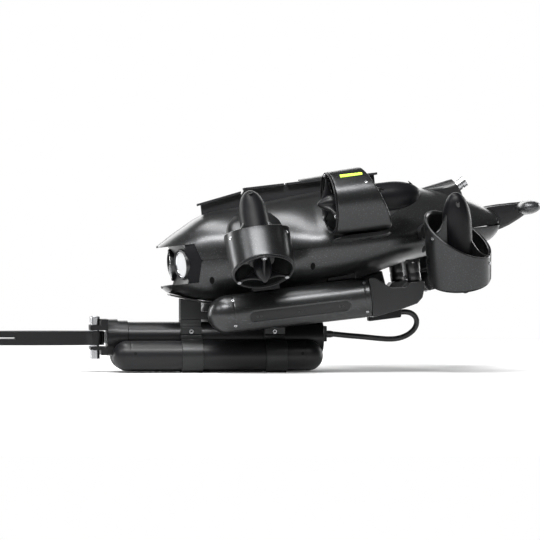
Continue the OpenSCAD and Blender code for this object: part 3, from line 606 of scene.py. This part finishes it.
propeller_black = finish("propeller_black", (0.008, 0.008, 0.009), 0.4, grain=900, depth=0.2)
pod_black = finish("pod_black", (0.005, 0.005, 0.006), 0.4, grain=1200, depth=0.15, gloss=0.14)
hub_black = finish("hub_black", (0.006, 0.006, 0.007), 0.36, gloss=0.25)
duct_graphite = finish("duct_graphite", (0.03, 0.0305, 0.0315), 0.3, 0.8, 0.15, fleck=0.06)
POD_R, SHAFT_R, GUARD_TURNS, BOSS = 15.6, 2.5, (60, 180, 300), (29.5, 0, 0)
heads = []
for pair, (_, _, slant) in PLACES.items():
    for side_name, s in (("left", 1), ("right", -1)):

        def put(rings, ends="fan"):
            """Skins rings of the thruster's own frame and sets them in this one's place."""
            points, faces = skin(rings, ends)
            return on_thruster(pair, s, points), faces

        parts = [put(duct_tube(slant), "open")] + [put(strut_fin(turn, slant)) for turn in (0, 120, 240)]
        for path, wide, thick in ARMS[pair]:
            points, faces = skin(clear_of_bore(pair, arm(path, wide, thick)))
            parts.append((in_hull(points * (1, s, 1)), faces))
        piece(f"duct_skin_{pair}_{side_name}", parts, duct_graphite,
              [f"duct_{pair}_{side_name}"])
        t = np.linspace(0, np.pi / 2 - 0.03, 26)
        nose_r, nose_z = POD_R * np.cos(t), 66 + 34 * np.sin(t)
        notch = np.interp(nose_z, [80.2, 80.7, 81.3, 81.8], [0, 0.45, 0.45, 0])
        flank = [(2.6, 26), (14.8, 26), (POD_R, 26.8), (POD_R, 46), (POD_R, 65)]
        pod = put(turned(flank + list(zip(nose_r - notch, nose_z)), 72))
        piece(f"pod_skin_{pair}_{side_name}", [pod], pod_black, [f"pod_{pair}_{side_name}"])
        cup = turned([(2.1, 0), (2.0, 0.3), (1.6, 0.35), (1.35, 0.1), (1.2, -0.6), (0.2, -0.7)], 32)
        long, wide, deep = np.moveaxis(cup * (1.9, 1, 1), -1, 0)
        sunk = np.stack([deep * 0.8 + 11.0 - 0.72 * long, wide, 91.0 + 0.72 * long + deep * 0.6], -1)
        piece(f"pod_recess_{pair}_{side_name}", [put(spun(sunk, 180))], matt_black)
        hub = [(2.6, 11.5), (13.2, 11.5), (14, 12.3), (14, 24.2), (13.2, 25), (2.6, 25)]
        blades = [put(blade(90 * i)) for i in range(4)]
        rotor = [(0.3, 35), (8.6, 35), (9, 35.4), (9, 58.6), (8.6, 59), (0.3, 59)]
        shaft = [put(turned([(0.3, 24), (SHAFT_R, 24), (SHAFT_R, 63), (0.3, 63)], 24)), put(turned(rotor, 40))]
        piece(f"propeller_skin_{pair}_{side_name}", [put(turned(hub, 48))] + blades + shaft, propeller_black,
              [f"propeller_{pair}_{side_name}"], f"propeller_{pair}_{side_name}")
        cone = [(0.4, 10.4), (9.2, 10.4), (9.6, 10), (9.6, 2), (9.1, -0.8), (8.2, -3), (7, -5.4), (5.6, -8),
                (4.1, -10.4), (2.6, -12.4), (1.5, -13.4), (0.6, -13.9)]
        bend = turns(16)
        ring = turned(np.stack([31.6 + 1.1 * np.cos(bend), -1.05 + 0.98 * np.sin(bend)], 1), 120)
        boss = [(0.5, -0.1), (3.3, -0.1), (3.4, -0.5), (3.4, -2.2), (3.1, -2.5), (0.5, -2.5)]
        guard = [put(turned(cone, 56)), put(np.concatenate([ring, ring[:1]]), "open")]
        guard += [put(spoke(turn)) for turn in GUARD_TURNS]
        guard += [put(spun(turned(boss, 28) + BOSS, turn)) for turn in GUARD_TURNS]
        piece(f"guard_{pair}_{side_name}", guard, hub_black,
              ["propeller_guards"] if (pair, s) == ("front", 1) else ())
        for turn in GUARD_TURNS:
            heads.append(put(spun(screw_head(2.1, 0.8) * (1, 1, -1) + BOSS + (0, 0, -2.5), turn)))
        for turn in (120, 240):
            tall = rim_height(35, math.radians(turn), slant) - 8
            up, across, out = np.moveaxis(screw_head(1.8, 0.8), -1, 0)
            heads.append(put(spun(np.stack([out + 34.8, across, up + tall], -1), turn)))
steel = finish("bright_steel", (0.42, 0.425, 0.435), 0.27, 1.0, grain=2500, depth=0.1, tone=0.3)
for x in (-77.7, 13.6):
    for s in (-1, 1):
        ahead, up, out = np.moveaxis(screw_head(2.6, 1.2), -1, 0)
        heads.append(skin(np.stack([ahead + x + 11.35, s * (out + 21.6), up + 44.5], -1)))
piece("screw_heads", heads, steel, ["screws"])

# ---- Status lights ----
# A lime bar on each middle duct shows the vehicle's state.


def eased(node, width, coat, segments=3, crease=25):
    """A rounded copy of a CAD node: doubles merged, flat facets joined, then every edge sharper than
    crease degrees rounded by width mm."""
    source = frame["nodes"][node]
    mesh = source.data.copy()
    mesh.transform(source.matrix_world)
    work = bmesh.new()
    work.from_mesh(mesh)
    bmesh.ops.remove_doubles(work, verts=work.verts, dist=2e-6)
    bmesh.ops.dissolve_limit(work, angle_limit=0.008, verts=work.verts, edges=work.edges)
    work.to_mesh(mesh)
    work.free()
    mesh.materials.clear()
    mesh.materials.append(coat)
    mesh.shade_smooth()
    mesh.set_sharp_from_angle(angle=math.radians(crease))
    made = bpy.data.objects.new(node + "_eased", mesh)
    bpy.context.scene.collection.objects.link(made)
    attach(made, body_of[node])
    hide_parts(node)
    bevel(made, width, segments, crease)


lime = finish("status_lime", (0.62, 0.95, 0.08), 0.3, coat=0.6, depth=0.0, tone=0.1, glow=0.9)
eased("status_lights", 0.25, lime, 2)

# ---- Top rail, tether port and tail ----
# The rail is a machined flange over a narrower web, notched where accessories clamp. Behind it a
# tapered housing holds the tether's metal socket. The tail carries a blade and a rounded bar.

rail_black = finish("rail_black", (0.022, 0.022, 0.024), 0.4, 0.3, grain=1400, depth=0.12)
eased("top_rail", 0.5, rail_black)
eased("tether_housing", 1.2, satin_black)
eased("tether_connector", 0.35, steel)
tail_grey = finish("tail_grey", (0.05, 0.051, 0.053), 0.36, 0.6, 0.3, fleck=0.08)


def rounded_bar(half, centre, rx, rz, around=64):
    """An oval section (rx, rz) carried along y, both radii times (1 - |y / half|^5)^(1/2.4) so that the
    ends are domed."""
    k = np.sin(np.linspace(-1, 1, 41) * np.pi / 2)
    a = turns(around)
    draw = np.maximum(1 - np.abs(k) ** 5, 0.0004)[:, None] ** (1 / 2.4)
    x, z = centre[0] + rx * draw * np.cos(a), centre[1] + rz * draw * np.sin(a)
    return np.stack([x, half * k[:, None] + 0 * x, z], -1)


points, faces = skin(rounded_bar(37, (222, 10), 13, 7.8))
piece("tail_bar", [(in_hull(points), faces)], tail_grey)
outline = np.array([[166, 12], [170, 14.6], [176, 17], [190, 17.6], [205, 17.5], [222, 17], [228, 10],
                    [222, 4], [212, -1.5], [200, -7], [192, -9.6], [186, -11], [178, -6], [170, 2],
                    [165, 6]], float)


def pillow(outline, half, ease):
    """An outline carried across y. Near both faces it is drawn in towards its middle by ease (1 - sin t)
    where y is ease (1 - cos t) from the face, which rounds the edges."""
    t = np.linspace(0, np.pi / 2, 7)
    mid, size = outline.mean(0), np.ptp(outline, axis=0).min() / 2
    deep, inwards = ease * (1 - np.cos(t)), ease * (1 - np.sin(t))
    h = np.concatenate([deep - half, (half - deep)[::-1]])
    draw = np.concatenate([inwards, inwards[::-1]]) / size
    flat = mid + (outline - mid)[None] * (1 - draw)[:, None, None]
    return np.stack([flat[..., 0], h[:, None] + 0 * flat[..., 0], flat[..., 1]], -1)


points, faces = skin(pillow(outline, 8, 3))
piece("tail_blade", [(in_hull(points), faces)], satin_black, ["tail_handle"], crease=45)
eased("chin_plate", 0.7, satin_black)
eased("keel_adapter", 1.6, matt_black)
eased("battery_cradles", 1.5, matt_black)

# ---- Batteries ----
# Two tapered round packs hang under the hull. Each case is anodised, with a domed nose, end-cap
# seams, a sunk obround plate on its outer side and a moulded handle with a quarter-turn lock.


def on_battery(side, points):
    """Battery frame, x along the pack, to row frame."""
    return in_hull(np.asarray(points, float) + (0, 64 * side, -66))


NOSE_X, CAP_X, FRONT_R, REAR_R = -127, 27.6, 20.4, 21.5
PLATE_X, PLATE_HALF, PLATE_ANGLE = -50.5, 49, {-1: math.radians(197), 1: math.radians(-17)}


def pack_radius(x):
    """Radius of the case at x: 20.4 at the front, 21.5 at the rear, in a straight line."""
    return FRONT_R + (REAR_R - FRONT_R) * (x - NOSE_X) / (CAP_X - NOSE_X)


def past_plate(x):
    """How far x is past the straight sides of the obround plate."""
    return np.maximum(np.abs(x - PLATE_X) - PLATE_HALF, 0)


def sunk_plate(x, a, side):
    """Depth of the obround plate: 0.9 mm within 5.6 mm of its middle line, easing to 0 at 6.2 mm."""
    arc = 20 * np.angle(np.exp(1j * (a - PLATE_ANGLE[side])))
    slope = np.clip((np.hypot(past_plate(x), arc) - 5.6) / 0.6, 0, 1)
    return 0.9 * (1 - slope**2 * (3 - 2 * slope))


def pack_case(side):
    """Rings about x: the case's radius, a quarter ellipse at the nose, less the plate and the grooves."""
    dome = 22
    t = np.linspace(0.04, np.pi / 2, dome)
    x = np.concatenate([NOSE_X - dome * np.cos(t)[:-1], np.linspace(NOSE_X, CAP_X, 230)])
    round_end = FRONT_R * np.sqrt(np.clip(1 - ((x - NOSE_X) / dome) ** 2, 0, 1))
    base = np.where(x < NOSE_X, round_end, pack_radius(x))
    seam = sum(0.35 * np.exp(-(((x - at) / 0.45) ** 2)) for at in (-121, 21.5))
    end = 1.2 * np.clip((x - 26.2) / 1.4, 0, 1) ** 3
    a = turns(200)
    r = (base - seam - end)[:, None] - sunk_plate(x[:, None], a, side)
    return np.stack([x[:, None] + 0 * r, r * np.cos(a), r * np.sin(a)], -1)


def plate_strip(side):
    """Closed strip filling the plate's floor: half-width 5.4 sqrt(1 - (past / 5.4)^2) in arc, from 1.4 to
    0.75 mm under the case."""
    x = PLATE_X + 54.3 * np.sin(np.linspace(-np.pi / 2, np.pi / 2, 70))
    wide = 5.4 * np.sqrt(np.clip(1 - (past_plate(x) / 5.4) ** 2, 0.002, 1))
    v = np.concatenate([np.linspace(-1, 1, 11), np.linspace(1, -1, 11)])
    deep = np.repeat([0.75, 1.4], 11)
    a = PLATE_ANGLE[side] + v * wide[:, None] / 20
    r = pack_radius(x)[:, None] - deep
    return np.stack([x[:, None] + 0 * r, r * np.cos(a), r * np.sin(a)], -1)


def on_case(side, head, x, tilt, sunk):
    """A screw head on the case's flank at station x, tilt radians above level, its foot sunk under it."""
    ahead, up, out = np.moveaxis(head, -1, 0)
    out = out + pack_radius(x) - sunk
    y, z = out * math.cos(tilt) - up * math.sin(tilt), out * math.sin(tilt) + up * math.cos(tilt)
    return skin(on_battery(side, np.stack([ahead + x, side * y, z], -1)))


pack_grey = finish("battery_graphite", (0.034, 0.0345, 0.0355), 0.31, 0.75, 0.2, stretch=(0.25, 1, 1),
                   fleck=0.05)
plate_black = finish("plate_black", (0.01, 0.01, 0.011), 0.45, gloss=0.3)
dot_black = finish("dot_black", (0.003, 0.003, 0.003), 0.3)
for side_name, s in (("left", -1), ("right", 1)):
    body = f"battery_{side_name}"
    points, faces = skin(pack_case(s))
    piece(f"battery_skin_{side_name}", [(on_battery(s, points), faces)], pack_grey,
          [f"battery_case_{side_name}"], body)
    dots = [on_case(s, screw_head(1.8, 0.7), x, math.asin(z / pack_radius(x)), 0.1)
            for x, z in ((-121.5, 14), (22, 16), (-121.5, -13), (22, -15))]
    piece(f"battery_screws_{side_name}", dots, steel, (), body)
    dots = [on_case(s, screw_head(1.2, 0.5), x, PLATE_ANGLE[1], 0.8) for x in (-97, -93, -52.5, -48.5, -8, -4)]
    piece(f"plate_screws_{side_name}", dots, dot_black, (), body)
    points, faces = skin(plate_strip(s))
    piece(f"plate_floor_{side_name}", [(on_battery(s, points), faces)], plate_black, (), body)
    eased(f"battery_handle_{side_name}", 2.0, satin_black, 4)
    knob = [(0.4, 10.8), (6.8, 10.8), (7.5, 11.6), (7.5, 19), (7.0, 20), (7.0, 21), (7.5, 22), (7.5, 31),
            (6.8, 32), (0.4, 32)]
    knurl = turned(knob, 96)
    knurl[[2, 3, 6, 7], :, :2] *= (1 - 0.03 * np.abs(np.sin(14 * turns(96))))[:, None]
    stem = turned([(0.4, 4.5), (3, 4.5), (3, 12), (0.4, 12)], 48)
    tee = pillow(np.array([[-7.4, 31], [7.4, 31], [7.4, 35.4], [-7.4, 35.4]], float), 2, 0.8)
    knob = [(on_battery(s, q[0] + (79, 0, 0)), q[1]) for q in (skin(knurl), skin(stem), skin(tee))]
    piece(f"lock_knob_skin_{side_name}", knob, satin_black, [f"lock_knob_{side_name}"],
          f"lock_knob_{side_name}")

# ---- Gripper arm ----
# A black anodised tube carries a clevis head with two pinned jaws. Two sealed float tubes hang
# beside it in split clamp bands, and a bracket joins the bands to the hull.


def capsule(x1, x2, r, seams, around=96):
    """Rings about x with round ends, r less a fine groove 0.3 exp(-((x - seam) / 0.5)^2) at each seam."""
    t = np.linspace(0.03, np.pi / 2, 24)
    inset = r - r * np.cos(t)
    x = np.concatenate([x1 + inset[:-1], np.linspace(x1 + r, x2 - r, 260), (x2 - inset)[::-1][1:]])
    past = np.maximum(np.maximum(x1 + r - x, x - x2 + r), 0)
    groove = sum(0.3 * np.exp(-(((x - at) / 0.5) ** 2)) for at in seams)
    radius = np.sqrt(np.maximum(r**2 - past**2, 0)) - groove
    a = turns(around)
    return np.stack([x[:, None] + 0 * a, radius[:, None] * np.cos(a), radius[:, None] * np.sin(a)], -1)


def float_vents_shaded(place):
    """Mask of the vent screws near both ends of a float, whose sunk heads are painted near black as their
    shade: 1 within 1.4 mm of each, 0 beyond 1.9 mm.
    """
    x, z = (place.node("ShaderNodeSeparateXYZ", {0: place}, out=k) for k in (0, 2))
    return ovals(x, z, ((-0.1287, 0.021), (0.053, 0.021)), (1000, 1000), (2.0, 3.6))


float_black = finish("float_black", (0.007, 0.007, 0.008), 0.38, coat=0.05, marks=float_vents_shaded,
                     stretch=(0.3, 1, 1), gloss=0.25)
arm_black = finish("arm_black", (0.009, 0.009, 0.01), 0.32, 0.4, 0.05, stretch=(0.2, 1, 1), gloss=0.3)
clamp_grey = finish("clamp_grey", (0.02, 0.0205, 0.021), 0.36, 0.6)
floats = [skin(capsule(-153, 77, 16.5, (-133, 57)) + (0, 29 * s, 18.3)) for s in (-1, 1)]
piece("float_skins", floats, float_black, ["float_tubes"])
eased("actuator_tube", 0.8, arm_black)
eased("gripper_head", 0.9, arm_black)
eased("clamp_bands", 0.5, clamp_grey)
eased("arm_bracket", 0.8, clamp_grey)
eased("pivot_pins", 0.6, steel)
jaw_metal = finish("jaw_metal", (0.012, 0.012, 0.013), 0.32, 0.7, 0.1, stretch=(0.3, 1, 1))
eased("jaw_left", 0.45, jaw_metal, 2)
eased("jaw_right", 0.45, jaw_metal, 2)
eased("arm_plug", 1.8, matt_black, 4)
eased("cable_gland", 0.4, rubber)

# ---- Lead ----
# A 6 mm rubber lead leaves the gland straight, sags behind the tube and loops back up into the
# plug under the hull.

ROUTE = [(92.4, 41), (100, 40.2), (110, 39.2), (121, 38.3), (132, 37.2), (144, 36), (154, 35.4), (163, 36),
         (171, 38.3), (178, 42.3), (183, 47.6), (185, 53.4), (184, 59), (180, 63.2), (174, 65.2), (167, 65.2)]
line = bpy.data.curves.new("lead", "CURVE")
line.dimensions, line.bevel_depth, line.bevel_resolution = "3D", 0.003, 8
line.resolution_u, line.use_fill_caps = 8, True
run = line.splines.new("BEZIER")
run.bezier_points.add(len(ROUTE) - 1)
for knot, (x, z) in zip(run.bezier_points, ROUTE):
    knot.co, knot.handle_left_type, knot.handle_right_type = (x / 1000, 0, z / 1000), "AUTO", "AUTO"
line.materials.append(rubber)
lead = bpy.data.objects.new("lead", line)
bpy.context.scene.collection.objects.link(lead)
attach(lead, "vehicle")
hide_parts("arm_cable")

# ---- Inside the hull ----
# The sealed electronics tube and its board, the ballast, cells, windings and the arm's motor and
# rack keep their CAD shapes and take their own finishes.


def repaint(coat, *names):
    for name in names:
        held = frame["nodes"][name]
        held.data.materials.clear()
        held.data.materials.append(coat)


repaint(finish("anodised_tube", (0.4, 0.42, 0.45), 0.35, 1.0, stretch=(0.2, 1, 1)), "electronics_tube")
repaint(finish("board_green", (0.03, 0.2, 0.09), 0.4, coat=0.5, grain=500), "main_board")
repaint(finish("ballast_steel", (0.4, 0.41, 0.42), 0.5, 1.0, depth=0.3), "ballast_weights", "gripper_motor")
repaint(finish("motor_copper", (0.6, 0.3, 0.14), 0.35, 1.0, stretch=(1, 1, 6), depth=0.4), "motor_stators")
repaint(finish("cell_blue", (0.1, 0.26, 0.42), 0.4, 0.2, 0.4), "battery_cells_left", "battery_cells_right")
repaint(finish("camera_dark", (0.02, 0.022, 0.028), 0.3, 0.3), "camera_module")
repaint(steel, "drive_rack")
